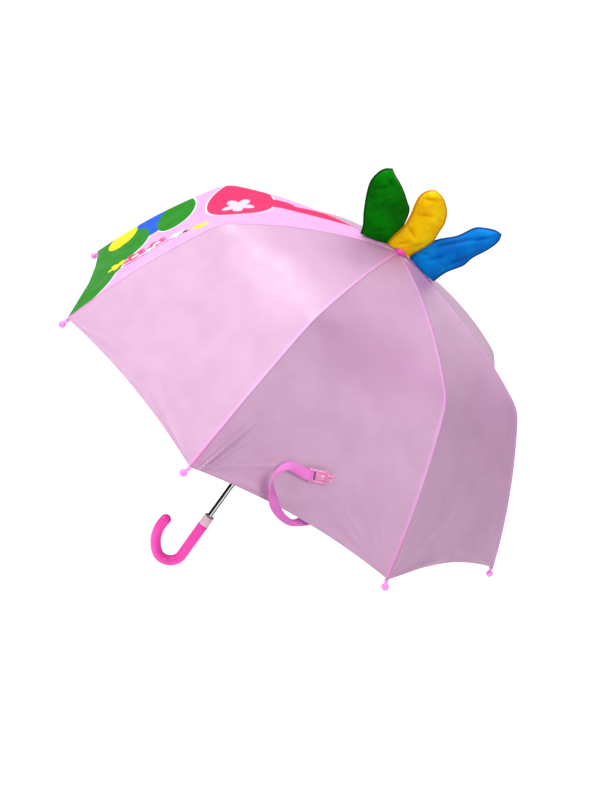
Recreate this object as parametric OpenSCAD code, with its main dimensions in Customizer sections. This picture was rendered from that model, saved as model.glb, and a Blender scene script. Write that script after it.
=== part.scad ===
// Children's umbrella with eight ribs, shown open.
// +Z runs up the shaft to the ferrule. The origin is on the shaft axis, halfway up the
// straight hand grip. The front of the umbrella, and the hook of the handle, face -Y.
// Panel k is centred 45*k degrees round from +X; rib k lies between panels k-1 and k.

/* [Handle] */
// Diameter of the handle tube
grip_d = 15.5; // [14:0.5:17]
// Length of the straight hand grip
grip_len = 62; // [56:1:70]
// Centreline radius of the tight bend of the hook
hook_r = 19; // [17:0.5:22]
// Angle of the tight bend
hook_turn = 133; // [120:1:150]
// Centreline radius of the last, nearly straight stretch of the hook
tail_r = 57; // [50:1:70]
// Angle of that last stretch
tail_turn = 58; // [30:1:62]
// Length of the sleeve above the grip
collar_len = 15; // [12:1:18]

/* [Shaft] */
// Outer diameter of the shaft tube
shaft_d = 8; // [7.8:0.1:8.2]
// Wall of the shaft tube
shaft_wall = 0.6; // [0.5:0.1:0.8]
// Depth of the shaft inside the handle, below the grip's middle
shaft_sunk = 20; // [10:1:25]

/* [Canopy] */
// Height of the canopy's top edge above the grip's middle
canopy_top = 507.5; // [500:0.1:512]
// Length of the nearly flat inner part of a rib seam
inner_len = 230; // [225:1:235]
// Length of the seam's tight bend, the elbow
elbow_len = 30; // [26:1:34]
// Length of the steep outer part of the seam
outer_len = 200; // [194:1:204]
// Slope of the seam below the horizontal at the crown, before the elbow, after it and at the hem
slopes = [5.5, 25, 55, 68];
// Thickness of a canopy panel
panel_t = 0.8; // [0.6:0.1:0.8]
// Rise of the hem between two tips
scallop = 10; // [8:1:18]

/* [Frame] */
// Radius of the crown and of the runner's ring
crown_r = 12.5; // [12.3:0.1:13]
// Radius of the wire rings that the ribs and stretchers turn on
pivot_r = 9; // [9:0.1:9.2]
// Diameter of the ring wire
wire_d = 0.9; // [0.8:0.1:0.9]
// Width and height of a rib
rib_size = [2.0, 1.8];
// Width and height of a stretcher
stretcher_size = [2.6, 2.2];
// Distance along the seam from the crown to the stretcher's rivet
rivet_at = 205; // [200:1:208]
// Length of the runner below its ring pivot
runner_len = 52; // [48:1:54]
// Diameter of a ball tip
ball_d = 9; // [8:0.1:10]

/* [Crest and strap] */
// Thickness of a stuffed spike
spike_t = 17; // [15:1:18]
// Width of the closing strap
strap_w = 12; // [10:1:14]

/* [Hidden] */
rib_numbers = [1:8];
$fn = 48;

grip_r = grip_d / 2;
grip_top = grip_len / 2;
shaft_r = shaft_d / 2;
bore_gap = 0.05;
runner_gap = 0.08;
shaft_top = canopy_top + 2.6;
collar_pink = [0.9, 0.7, 0.8];
canopy_pink = [0.87, 0.7, 0.85];
hot_pink = [1, 0.27, 0.7];
tip_pink = [0.98, 0.6, 0.92];

// ---- The seam line of the canopy, in the plane of a rib: [distance from the axis, height] ----

seam_start = [6, canopy_top];

// Point at distance s along an arc that starts at p and whose slope goes from a0 to a1 over len.
function arc_point(p, a0, a1, len, s) =
    let (bend = len * 180 / PI / (a1 - a0), a = a0 + (a1 - a0) * s / len)
    [p[0] + bend * (sin(a) - sin(a0)), p[1] - bend * (cos(a0) - cos(a))];

elbow_start = arc_point(seam_start, slopes[0], slopes[1], inner_len, inner_len);
elbow_end = arc_point(elbow_start, slopes[1], slopes[2], elbow_len, elbow_len);
seam_len = inner_len + elbow_len + outer_len;
crease = inner_len + elbow_len / 2;

function seam_point(s) =
    s <= inner_len ? arc_point(seam_start, slopes[0], slopes[1], inner_len, s)
    : s <= inner_len + elbow_len ? arc_point(elbow_start, slopes[1], slopes[2], elbow_len, s - inner_len)
    : arc_point(elbow_end, slopes[2], slopes[3], outer_len, s - inner_len - elbow_len);

function seam_slope(s) =
    s <= inner_len ? slopes[0] + (slopes[1] - slopes[0]) * s / inner_len
    : s <= inner_len + elbow_len ? slopes[1] + (slopes[2] - slopes[1]) * (s - inner_len) / elbow_len
    : slopes[2] + (slopes[3] - slopes[2]) * (s - inner_len - elbow_len) / outer_len;

// Point d below the seam, square to it.
function below_seam(s, d) = seam_point(s) - d * [sin(seam_slope(s)), cos(seam_slope(s))];

// Distances along the seam from a to b: about every 14 mm, and every 5 mm round the elbow.
function seam_steps(a, b) = concat(
    [a],
    [for (s = [14:14:inner_len - 4]) if (s > a + 2 && s < b - 2) s],
    [for (s = [inner_len:5:inner_len + elbow_len]) if (s > a + 2 && s < b - 2) s],
    [for (s = [inner_len + elbow_len + 14:14:seam_len]) if (s > a + 2 && s < b - 2) s],
    [b]);

function reverse(v) = [for (i = [len(v) - 1:-1:0]) v[i]];

// Closed outline of a strip that lies between d0 and d1 below the seam.
function seam_strip(a, b, d0, d1) = let (steps = seam_steps(a, b)) concat(
    [for (s = steps) below_seam(s, d0)],
    reverse([for (s = steps) below_seam(s, d1)]));

// ---- Frame geometry in the plane of a rib ----

rib_drop = 2.2;
crown_pivot = [pivot_r, canopy_top - 5];
rivet = below_seam(rivet_at, rib_drop + 3.3);
stretcher_len = norm(rivet - crown_pivot);
// Angle of the line from the crown pivot to the rivet, from straight down
rivet_angle = atan2(rivet[0] - crown_pivot[0], crown_pivot[1] - rivet[1]);
// The runner's pivot lies straight below the crown's, at the stretcher's own length from the rivet
runner_pivot = crown_pivot - [0, 2 * stretcher_len * cos(rivet_angle)];
runner_low = runner_pivot[1] - runner_len;
ring_h = 5.6;
slot_w = 1.8;
slot_floor_r = 7.2;
eye_t = 1.2;
eye_r = 1.4;
eye_hole_r = wire_d / 2 + 0.1;
wire_groove_r = wire_d / 2 + 0.05;
neck_end = 18;
rivet_r = 0.8;
rivet_hole_r = 0.88;

function rib_angle(k) = 45 * k - 22.5;

module in_rib_plane(k) rotate(rib_angle(k)) children();

// Extrudes a drawing made in [distance from the axis, height] sideways by w.
module slab(w) rotate([90, 0, 0]) linear_extrude(w, center = true) children();

// A cylinder across the plane of a rib.
module cross_pin(p, r, w) translate([p[0], 0, p[1]]) rotate([90, 0, 0]) cylinder(r = r, h = w, center = true);

// ---- Handle and shaft ----

// The hook is drawn in its own plane: x runs forward (-Y of the umbrella) and y up.
module handle() {
    hook_end = 180 + hook_turn;
    tail_end = hook_end + tail_turn;
    color(hot_pink) difference() {
        union() {
            translate([0, 0, -grip_top]) cylinder(r = grip_r, h = grip_len);
            rotate([90, 0, -90]) translate([hook_r, -grip_top, 0]) {
                bend(hook_r, 180, hook_turn);
                translate((hook_r - tail_r) * [cos(hook_end), sin(hook_end), 0]) {
                    bend(tail_r, hook_end, tail_turn);
                    translate(tail_r * [cos(tail_end), sin(tail_end), 0]) sphere(r = grip_r);
                }
            }
        }
        translate([0, 0, -shaft_sunk - 0.3]) cylinder(r = shaft_r + bore_gap, h = 100);
    }
}

// A bent length of the handle tube, from angle start on through turn.
module bend(r, start, turn)
    rotate(start) rotate_extrude(angle = turn, $fn = 96) translate([r, 0]) circle(r = grip_r);

module handle_collar() {
    edge = 1;
    color(collar_pink) rotate_extrude() polygon([
        [shaft_r + bore_gap, grip_top],
        [grip_r, grip_top],
        [grip_r, grip_top + collar_len - edge],
        [grip_r - edge, grip_top + collar_len],
        [shaft_r + bore_gap, grip_top + collar_len]]);
}

catch_w = 3;
catch_h = 8;
catch_out = 2.3;
top_catch_z = runner_low - 0.4 - catch_h;
bottom_catch_z = 86;
pin_r = 0.9;
pin_z = crown_pivot[1] - 7;

module shaft_tube() {
    slot_gap = 0.2;
    color("silver") difference() {
        translate([0, 0, -shaft_sunk]) cylinder(r = shaft_r, h = shaft_sunk + shaft_top);
        translate([0, 0, -shaft_sunk - 1]) cylinder(r = shaft_r - shaft_wall, h = shaft_sunk + shaft_top + 2);
        for (z = [bottom_catch_z, top_catch_z])
            translate([-10, -catch_w / 2 - slot_gap, z - slot_gap])
                cube([10, catch_w + 2 * slot_gap, catch_h + 2 * slot_gap]);
        cross_pin([0, pin_z], pin_r + bore_gap, 20);
    }
}

// Sprung catch: a wedge that stands out of the slot towards -X, on a leaf inside the tube.
module sprung_catch(z) {
    leaf_x = -2.2;
    leaf_t = 0.6;
    leaf_len = 22;
    color("gainsboro") translate([0, 0, z]) slab(catch_w) polygon([
        [leaf_x, catch_h],
        [-shaft_r - catch_out, catch_h],
        [-shaft_r - catch_out, catch_h - 1.2],
        [-shaft_r - 0.2, 0],
        [leaf_x - leaf_t, 0],
        [leaf_x - leaf_t, -leaf_len],
        [leaf_x, -leaf_len]]);
}

module bottom_catch() sprung_catch(bottom_catch_z);

module top_catch() sprung_catch(top_catch_z);

// ---- Crown, runner and their wires ----

// Ring with eight slots and a groove for the wire, centred on height z.
module slotted_ring(z) difference() {
    translate([0, 0, z - ring_h / 2]) cylinder(r = crown_r, h = ring_h, $fn = 96);
    for (k = rib_numbers)
        in_rib_plane(k) translate([slot_floor_r, -slot_w / 2, z - ring_h]) cube([20, slot_w, 2 * ring_h]);
    translate([0, 0, z]) rotate_extrude($fn = 96) translate([pivot_r, 0]) circle(r = wire_groove_r, $fn = 16);
}

module ring_wire(z) color("silver")
    translate([0, 0, z]) rotate_extrude($fn = 96) translate([pivot_r, 0]) circle(d = wire_d, $fn = 16);

module crown() {
    neck_r = 6.6;
    neck_len = 11;
    color("gainsboro") difference() {
        union() {
            slotted_ring(crown_pivot[1]);
            translate([0, 0, crown_pivot[1] - neck_len]) cylinder(r = neck_r, h = neck_len);
        }
        cylinder(r = shaft_r + bore_gap, h = 1000);
        cross_pin([0, pin_z], pin_r + bore_gap, 20);
    }
}

module crown_wire() ring_wire(crown_pivot[1]);

module crown_pin() color("silver") cross_pin([0, pin_z], pin_r, 13);

module runner() {
    sleeve_r = 7.8;
    waist_r = 7.2;
    keyway_r = shaft_r + catch_out + 0.4;
    keyway_w = catch_w + 0.7;
    lip = 6;
    color("whitesmoke") difference() {
        union() {
            slotted_ring(runner_pivot[1]);
            translate([0, 0, runner_low]) cylinder(r = waist_r, h = runner_len);
            translate([0, 0, runner_low]) cylinder(r = sleeve_r, h = lip);
            translate([0, 0, runner_low + runner_len / 2]) cylinder(r = sleeve_r, h = lip);
        }
        cylinder(r = shaft_r + runner_gap, h = 1000);
        translate([-keyway_r, -keyway_w / 2, 0]) cube([keyway_r, keyway_w, 1000]);
    }
}

module runner_wire() ring_wire(runner_pivot[1]);

// ---- Ferrule and rosette ----

// Low round cap over the shaft's end; its spigot passes through the opening of the canopy.
module ferrule_cap() {
    spigot_r = 5.2;
    cap_r = 6.6;
    cap_z = canopy_top + 0.3;
    wall_h = 4;
    edge = 0.8;
    color(hot_pink) rotate_extrude() polygon([
        [shaft_r + bore_gap, canopy_top - 1.4],
        [spigot_r, canopy_top - 1.4],
        [spigot_r, cap_z],
        [cap_r, cap_z],
        [cap_r, cap_z + wall_h],
        [cap_r - edge, cap_z + wall_h + edge],
        [0, cap_z + wall_h + edge],
        [0, shaft_top + 0.2],
        [shaft_r + bore_gap, shaft_top + 0.2]]);
}

module rosette() {
    rosette_r = 12;
    rosette_t = 0.5;
    color(canopy_pink) translate([0, 0, crown_pivot[1] + ring_h / 2]) difference() {
        cylinder(r = rosette_r, h = rosette_t);
        translate([0, 0, -1]) cylinder(r = shaft_r + bore_gap, h = 3);
    }
}

// ---- Ribs, stretchers and tips ----

rib_end = below_seam(seam_len, rib_drop);
spigot_r = 0.9;
spigot_len = 6;

// Sideways lean of the end of each rib; the two ribs beside panel 8 stand a little apart
tip_lean = [-14, 0, 0, 0, 0, 0, 0, 12];

module at_rib_end(k)
    translate([rib_end[0], 0, rib_end[1]])
        rotate([0, 90 + slopes[3], 0])
            rotate([tip_lean[k - 1], 0, 0]) children();

module rib(k) {
    half_h = rib_size[1] / 2;
    lug_t = 1;
    lug_r = 1.5;
    rivet_w = 3.4;
    lug_root = 4;
    color("silver") in_rib_plane(k) {
        difference() {
            union() {
                slab(eye_t) polygon([
                    crown_pivot - [0, half_h],
                    below_seam(neck_end, rib_drop + half_h),
                    below_seam(neck_end, rib_drop - half_h),
                    crown_pivot + [0, half_h]]);
                cross_pin(crown_pivot, eye_r, eye_t);
                slab(rib_size[0]) polygon(
                    seam_strip(neck_end - 2, seam_len, rib_drop - half_h, rib_drop + half_h));
            }
            cross_pin(crown_pivot, eye_hole_r, 4);
            slab(rib_size[0] - 1) polygon(seam_strip(neck_end + 6, seam_len - 12, rib_drop, rib_drop + 2));
        }
        slab(lug_t) polygon([
            below_seam(rivet_at - lug_root, rib_drop),
            below_seam(rivet_at + lug_root, rib_drop),
            rivet + [lug_r * 0.7, 0],
            rivet - [lug_r * 0.7, 0]]);
        cross_pin(rivet, lug_r - 0.3, lug_t);
        cross_pin(rivet, rivet_r, rivet_w);
        at_rib_end(k) translate([0, 0, -1]) cylinder(r = spigot_r, h = spigot_len + 1);
    }
}

module stretcher(k) {
    w = stretcher_size[0];
    h = stretcher_size[1];
    wall = 0.5;
    floor_t = 0.6;
    solid_from = 6;
    open_from = 7.2;
    fork_len = 8;
    end = stretcher_len + 1.5;
    color("silver") in_rib_plane(k)
        translate([runner_pivot[0], 0, runner_pivot[1]]) rotate([0, rivet_angle - 90, 0]) difference() {
            union() {
                translate([solid_from, -w / 2, -h / 2]) cube([end - solid_from, w, h]);
                translate([0, -eye_t / 2, -h / 2]) cube([open_from, eye_t, h]);
                cross_pin([0, 0], eye_r, eye_t);
            }
            translate([open_from, -w / 2 + wall, floor_t - h / 2]) cube([end, w - 2 * wall, h]);
            translate([stretcher_len - fork_len, -w / 2 + wall, -h]) cube([20, w - 2 * wall, 2 * h]);
            cross_pin([0, 0], eye_hole_r, 4);
            cross_pin([stretcher_len, 0], rivet_hole_r, 6);
        }
}

module tip(k) {
    ball_r = ball_d / 2;
    neck_r = 1.9;
    foot_r = 2.3;
    ball_at = 9.6;
    color(tip_pink) in_rib_plane(k) at_rib_end(k) difference() {
        union() {
            translate([0, 0, 0.3]) cylinder(r = foot_r, h = 1.6);
            translate([0, 0, 0.3]) cylinder(r = neck_r, h = ball_at);
            translate([0, 0, ball_at]) sphere(r = ball_r);
        }
        translate([0, 0, -1]) cylinder(r = spigot_r + 0.1, h = spigot_len + 1.4);
    }
}

module rib_1() rib(1);
module rib_2() rib(2);
module rib_3() rib(3);
module rib_4() rib(4);
module rib_5() rib(5);
module rib_6() rib(6);
module rib_7() rib(7);
module rib_8() rib(8);

module stretcher_1() stretcher(1);
module stretcher_2() stretcher(2);
module stretcher_3() stretcher(3);
module stretcher_4() stretcher(4);
module stretcher_5() stretcher(5);
module stretcher_6() stretcher(6);
module stretcher_7() stretcher(7);
module stretcher_8() stretcher(8);

module tip_1() tip(1);
module tip_2() tip(2);
module tip_3() tip(3);
module tip_4() tip(4);
module tip_5() tip(5);
module tip_6() tip(6);
module tip_7() tip(7);
module tip_8() tip(8);

// ---- Canopy panels ----

// A panel is straight from rib to rib, so its section is the seam drawn cos(22.5) nearer the axis.
panel_gap = 0.25;
half_gore = 22.5;
crease_gap = 0.15;

module panel_piece(k, a, b) {
    narrow = cos(half_gore);
    outline = [for (p = seam_strip(a, b, 0, panel_t)) [p[0] * narrow, p[1]]];
    tip_x = panel_gap / sin(half_gore);
    reach = 400;
    color(canopy_pink) rotate(45 * k) intersection() {
        slab(2 * reach) polygon(outline);
        linear_extrude(canopy_top + 10) polygon([
            [tip_x, 0],
            [reach, -(reach - tip_x) * tan(half_gore)],
            [reach, (reach - tip_x) * tan(half_gore)]]);
    }
}

module panel_upper(k) panel_piece(k, 0, crease - crease_gap);

module panel_lower(k) {
    corner = seam_point(seam_len);
    half_w = corner[0] * sin(half_gore);
    arc_r = (half_w * half_w + scallop * scallop) / (2 * scallop);
    hem_end = seam_len - 1.5;
    difference() {
        panel_piece(k, crease + crease_gap, hem_end);
        rotate(45 * k) translate([200, 0, corner[1] + scallop - arc_r])
            rotate([0, 90, 0]) cylinder(r = arc_r, h = 300, $fn = 360);
    }
}

module panel_upper_1() panel_upper(1);
module panel_upper_2() panel_upper(2);
module panel_upper_3() panel_upper(3);
module panel_upper_4() panel_upper(4);
module panel_upper_5() panel_upper(5);
module panel_upper_6() panel_upper(6);
module panel_upper_7() panel_upper(7);
module panel_upper_8() panel_upper(8);

module panel_lower_1() panel_lower(1);
module panel_lower_2() panel_lower(2);
module panel_lower_3() panel_lower(3);
module panel_lower_4() panel_lower(4);
module panel_lower_5() panel_lower(5);
module panel_lower_6() panel_lower(6);
module panel_lower_7() panel_lower(7);
module panel_lower_8() panel_lower(8);

// ---- Stuffed spikes of the crest ----

// root is the middle of the base, lean the angle from upright towards -Y.
module spike(root, lean, len, width, base_w, lift) {
    belly_r = spike_t / 2;
    base_r = belly_r - 1;
    point_r = belly_r - 2;
    translate(root) rotate([lean, 0, 0]) hull() {
        for (side = [-1, 1]) {
            translate([0, side * (base_w / 2 - base_r), lift]) sphere(r = base_r, $fn = 24);
            translate([0, side * (width / 2 - belly_r), len * 0.45]) sphere(r = belly_r, $fn = 24);
            translate([0, side * (width / 4 - point_r / 2), len * 0.8]) sphere(r = point_r, $fn = 24);
        }
        translate([0, 0, len - point_r]) sphere(r = point_r, $fn = 24);
    }
}

module spike_green() color([0, 0.45, 0]) spike([-3.5, -38, 501], 20, 98, 60, 40, 15);

module spike_yellow() color([0.95, 0.75, 0]) spike([-20.9, 1, 506], 4, 91, 46, 36, 10);

module spike_blue() color([0, 0.43, 0.78]) spike([-3.5, 41, 501], -27, 110, 44, 38, 16);

// ---- Closing strap ----

// Middle line of the strap, from inside the hem of panel 8, round to the outside of the panel.
strap_path = [
    [305, 17, 262], [311, 9, 258], [319, -2, 255], [323, -16, 258], [324, -28, 264], [324, -36, 271],
    [322, -42, 278], [319, -47, 285], [314, -49, 293], [309, -46, 301], [303, -38, 307], [300, -26, 308],
    [300, -16, 307]];
// Direction of the strap's width at each of those points; it makes half a twist
strap_across = [
    [-0.6, -0.6, 0.5], [-0.9, -0.3, 0.3], [-1, 0.1, 0.2], [-0.9, 0.3, 0.4], [-0.6, 0.6, 0.5],
    [-0.6, 0.7, 0.4], [-0.8, 0.6, 0], [-0.9, 0.4, -0.3], [-0.9, 0, -0.4], [-1, -0.2, -0.1],
    [-0.9, -0.2, 0.3], [-0.6, 0, 0.8], [-0.4, 0.1, 0.9]];
clip_path = [[300, -13, 308], [296, 13, 316]];

module strap_bar(i) {
    half = strap_w / 2 * strap_across[i] / norm(strap_across[i]);
    hull() for (side = [-1, 1])
        translate(strap_path[i] + side * half) sphere(r = 0.6, $fn = 8);
}

module strap() color(tip_pink)
    for (i = [0:len(strap_path) - 2]) hull() {
        strap_bar(i);
        strap_bar(i + 1);
    }

module strap_clip() {
    clip_t = 4;
    color(collar_pink) hull() for (p = clip_path, side = [-1, 1])
        translate(p + side * (strap_w / 2 - 1) * [-0.4, 0.1, 0.9]) sphere(d = clip_t, $fn = 16);
}

handle();
handle_collar();
shaft_tube();
bottom_catch();
top_catch();
crown();
crown_wire();
crown_pin();
runner();
runner_wire();
ferrule_cap();
rosette();
rib_1();
rib_2();
rib_3();
rib_4();
rib_5();
rib_6();
rib_7();
rib_8();
stretcher_1();
stretcher_2();
stretcher_3();
stretcher_4();
stretcher_5();
stretcher_6();
stretcher_7();
stretcher_8();
tip_1();
tip_2();
tip_3();
tip_4();
tip_5();
tip_6();
tip_7();
tip_8();
panel_upper_1();
panel_upper_2();
panel_upper_3();
panel_upper_4();
panel_upper_5();
panel_upper_6();
panel_upper_7();
panel_upper_8();
panel_lower_1();
panel_lower_2();
panel_lower_3();
panel_lower_4();
panel_lower_5();
panel_lower_6();
panel_lower_7();
panel_lower_8();
spike_green();
spike_yellow();
spike_blue();
strap();
strap_clip();
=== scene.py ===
"""Looks of the children's umbrella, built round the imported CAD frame.

The row frame: +Z up the shaft, origin halfway up the hand grip, front and hook towards -Y.
Panel k is centred 45*k degrees round from +X, and rib k stands 22.5 degrees before it.
Lengths are in metres; MM turns millimetres into them.
"""

import functools
import math

import bpy
import numpy as np
from mathutils import Matrix, Vector, noise


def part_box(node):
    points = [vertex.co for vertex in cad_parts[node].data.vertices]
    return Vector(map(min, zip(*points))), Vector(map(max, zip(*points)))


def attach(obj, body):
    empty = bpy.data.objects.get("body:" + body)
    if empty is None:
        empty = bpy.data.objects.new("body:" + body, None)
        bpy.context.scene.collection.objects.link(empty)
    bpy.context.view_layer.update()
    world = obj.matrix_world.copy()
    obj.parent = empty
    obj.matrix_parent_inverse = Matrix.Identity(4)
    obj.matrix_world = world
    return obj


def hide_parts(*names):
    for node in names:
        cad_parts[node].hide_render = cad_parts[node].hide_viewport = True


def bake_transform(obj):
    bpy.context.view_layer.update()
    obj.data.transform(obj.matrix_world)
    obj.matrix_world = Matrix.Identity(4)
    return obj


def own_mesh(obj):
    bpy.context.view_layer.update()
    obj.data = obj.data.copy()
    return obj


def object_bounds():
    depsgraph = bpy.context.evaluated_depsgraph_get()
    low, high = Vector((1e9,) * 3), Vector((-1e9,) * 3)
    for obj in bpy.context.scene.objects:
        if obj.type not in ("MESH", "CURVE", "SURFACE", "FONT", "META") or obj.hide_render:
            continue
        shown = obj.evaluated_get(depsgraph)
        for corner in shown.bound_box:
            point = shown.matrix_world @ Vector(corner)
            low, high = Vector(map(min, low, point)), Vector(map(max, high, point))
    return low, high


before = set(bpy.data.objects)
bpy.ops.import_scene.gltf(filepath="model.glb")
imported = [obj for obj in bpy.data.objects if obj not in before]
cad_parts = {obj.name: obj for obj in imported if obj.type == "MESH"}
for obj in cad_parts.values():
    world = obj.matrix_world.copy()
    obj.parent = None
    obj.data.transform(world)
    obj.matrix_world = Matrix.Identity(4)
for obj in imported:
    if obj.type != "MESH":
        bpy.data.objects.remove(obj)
cad_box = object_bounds()

MM = 0.001
GORES = range(1, 9)
HALF_GORE = math.radians(22.5)
rng = np.random.default_rng(11)


# ---------------------------------------------------------------- the seam line of the canopy
# Arcs of a rib seam from the crown to the tip: length, slope at the start, slope at the end
SEAM_ARCS = ((230 * MM, 5.5, 25), (30 * MM, 25, 55), (200 * MM, 55, 68))
SEAM_LEN = sum(arc[0] for arc in SEAM_ARCS)
CREASE = SEAM_ARCS[0][0] + SEAM_ARCS[1][0] / 2
SCALLOP = 10 * MM
CANOPY_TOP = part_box("panel_upper_8")[1].z
TOP_EDGE_R = 6 * MM


def seam(s):
    """Distance from the axis, height and slope of the seam at length s from the crown."""
    r, z = TOP_EDGE_R, CANOPY_TOP
    for length, a0, a1 in SEAM_ARCS:
        a0, a1 = math.radians(a0), math.radians(a1)
        bend = length / (a1 - a0)
        a = a0 + (a1 - a0) * min(s, length) / length
        r += bend * (math.sin(a) - math.sin(a0))
        z -= bend * (math.cos(a0) - math.cos(a))
        if s <= length:
            break
        s -= length
    return r, z, a


@functools.lru_cache(maxsize=None)
def eased_seam(s, reach):
    """The seam averaged over a reach each way, as cloth spans the bend away from the ribs."""
    reach = min(reach, s, SEAM_LEN - s)
    if reach < 1 * MM:
        return seam(s)
    samples = [seam(s + reach * i / 6) for i in range(-6, 7)]
    return tuple(sum(v) / len(samples) for v in zip(*samples))


def below_seam(s, d):
    """[distance from the axis, height] of a point d under the seam, square to it."""
    r, z, a = seam(s)
    return r - d * math.sin(a), z - d * math.cos(a)


def polar(r, angle, z):
    return Vector((r * math.cos(angle), r * math.sin(angle), z))


def rib_angle(k):
    return 2 * HALF_GORE * k - HALF_GORE


def panel_angle(k):
    return 2 * HALF_GORE * k


# ---------------------------------------------------------------- mesh helpers
class Mesh:
    """Collects vertices and faces of one piece."""

    def __init__(self):
        self.verts = []
        self.faces = []

    def add(self, verts, faces):
        base = len(self.verts)
        self.verts += [Vector(v) for v in verts]
        self.faces += [tuple(base + i for i in f) for f in faces]

    def grid(self, rows, wrap=False, caps=False):
        """rows is a list of equally long lists of points. wrap joins the last column to the first."""
        n = len(rows[0])
        faces = []
        for i in range(len(rows) - 1):
            for j in range(n if wrap else n - 1):
                a, b = i * n + j, i * n + (j + 1) % n
                faces.append((a, b, b + n, a + n))
        if caps:
            faces.append(tuple(range(n))[::-1])
            faces.append(tuple((len(rows) - 1) * n + j for j in range(n)))
        self.add([p for row in rows for p in row], faces)

    def shell(self, rows, thickness):
        """A sheet: outer faces, inner faces a thickness behind them and a rim. Outer vertices come first."""
        p = np.array([[tuple(q) for q in row] for row in rows])
        normal = np.cross(np.gradient(p, axis=0), np.gradient(p, axis=1))
        normal /= np.maximum(np.linalg.norm(normal, axis=2, keepdims=True), 1e-12)
        m, n = p.shape[:2]
        base, start = len(self.verts), len(self.faces)
        self.grid(rows)
        self.faces[start:] = [f[::-1] for f in self.faces[start:]]
        self.grid((p - thickness * normal).tolist())
        rim = [(0, j) for j in range(n)] + [(i, n - 1) for i in range(1, m)]
        rim += [(m - 1, j) for j in range(n - 2, -1, -1)] + [(i, 0) for i in range(m - 2, 0, -1)]
        for (i0, j0), (i1, j1) in zip(rim, rim[1:] + rim[:1]):
            a, b = base + i0 * n + j0, base + i1 * n + j1
            self.faces.append((a, b, b + m * n, a + m * n))

    def sweep(self, frames, section):
        """Carries a closed section [(across, up)] along frames [(origin, across, up)] and closes its ends."""
        rows = [[o + a * u + b * v for u, v in section] for o, a, b in frames]
        self.grid(rows, wrap=True, caps=True)

    def lathe(self, profile, matrix, steps=48):
        """Turns a profile [(radius, height)] about matrix's z axis. Its ends close on the axis."""
        ring = [2 * math.pi * j / steps for j in range(steps)]
        rows = [[matrix @ Vector((r * math.cos(t), r * math.sin(t), h)) for t in ring] for r, h in profile]
        self.grid(rows, wrap=True, caps=True)

    def build(self, name, material, sharp=None):
        """Makes the object. Edges sharper than sharp degrees stay crisp under the smooth shading."""
        data = bpy.data.meshes.new(name)
        data.from_pydata([tuple(v) for v in self.verts], [], self.faces)
        data.validate()
        data.polygons.foreach_set("use_smooth", [True] * len(data.polygons))
        data.materials.append(material)
        obj = bpy.data.objects.new(name, data)
        bpy.context.scene.collection.objects.link(obj)
        if sharp is not None:
            data.set_sharp_from_angle(angle=math.radians(sharp))
        return obj


def smooth_path(points, steps):
    """Catmull-Rom curve through the points, steps samples to a stretch."""
    p = [np.array(q, float) for q in points]
    p = [2 * p[0] - p[1]] + p + [2 * p[-1] - p[-2]]
    out = []
    for i in range(1, len(p) - 2):
        for j in range(steps):
            t = j / steps
            out.append(0.5 * (2 * p[i] + (p[i + 1] - p[i - 1]) * t
                              + (2 * p[i - 1] - 5 * p[i] + 4 * p[i + 1] - p[i + 2]) * t ** 2
                              + (3 * p[i] - p[i - 1] - 3 * p[i + 1] + p[i + 2]) * t ** 3))
    out.append(p[-2])
    return out


# ---------------------------------------------------------------- materials
def linear(*rgb):
    """Linear colour from red, green and blue between 0 and 255."""
    return tuple(c / 3294.6 if c <= 10 else ((c / 255 + 0.055) / 1.055) ** 2.4 for c in rgb) + (1,)


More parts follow.
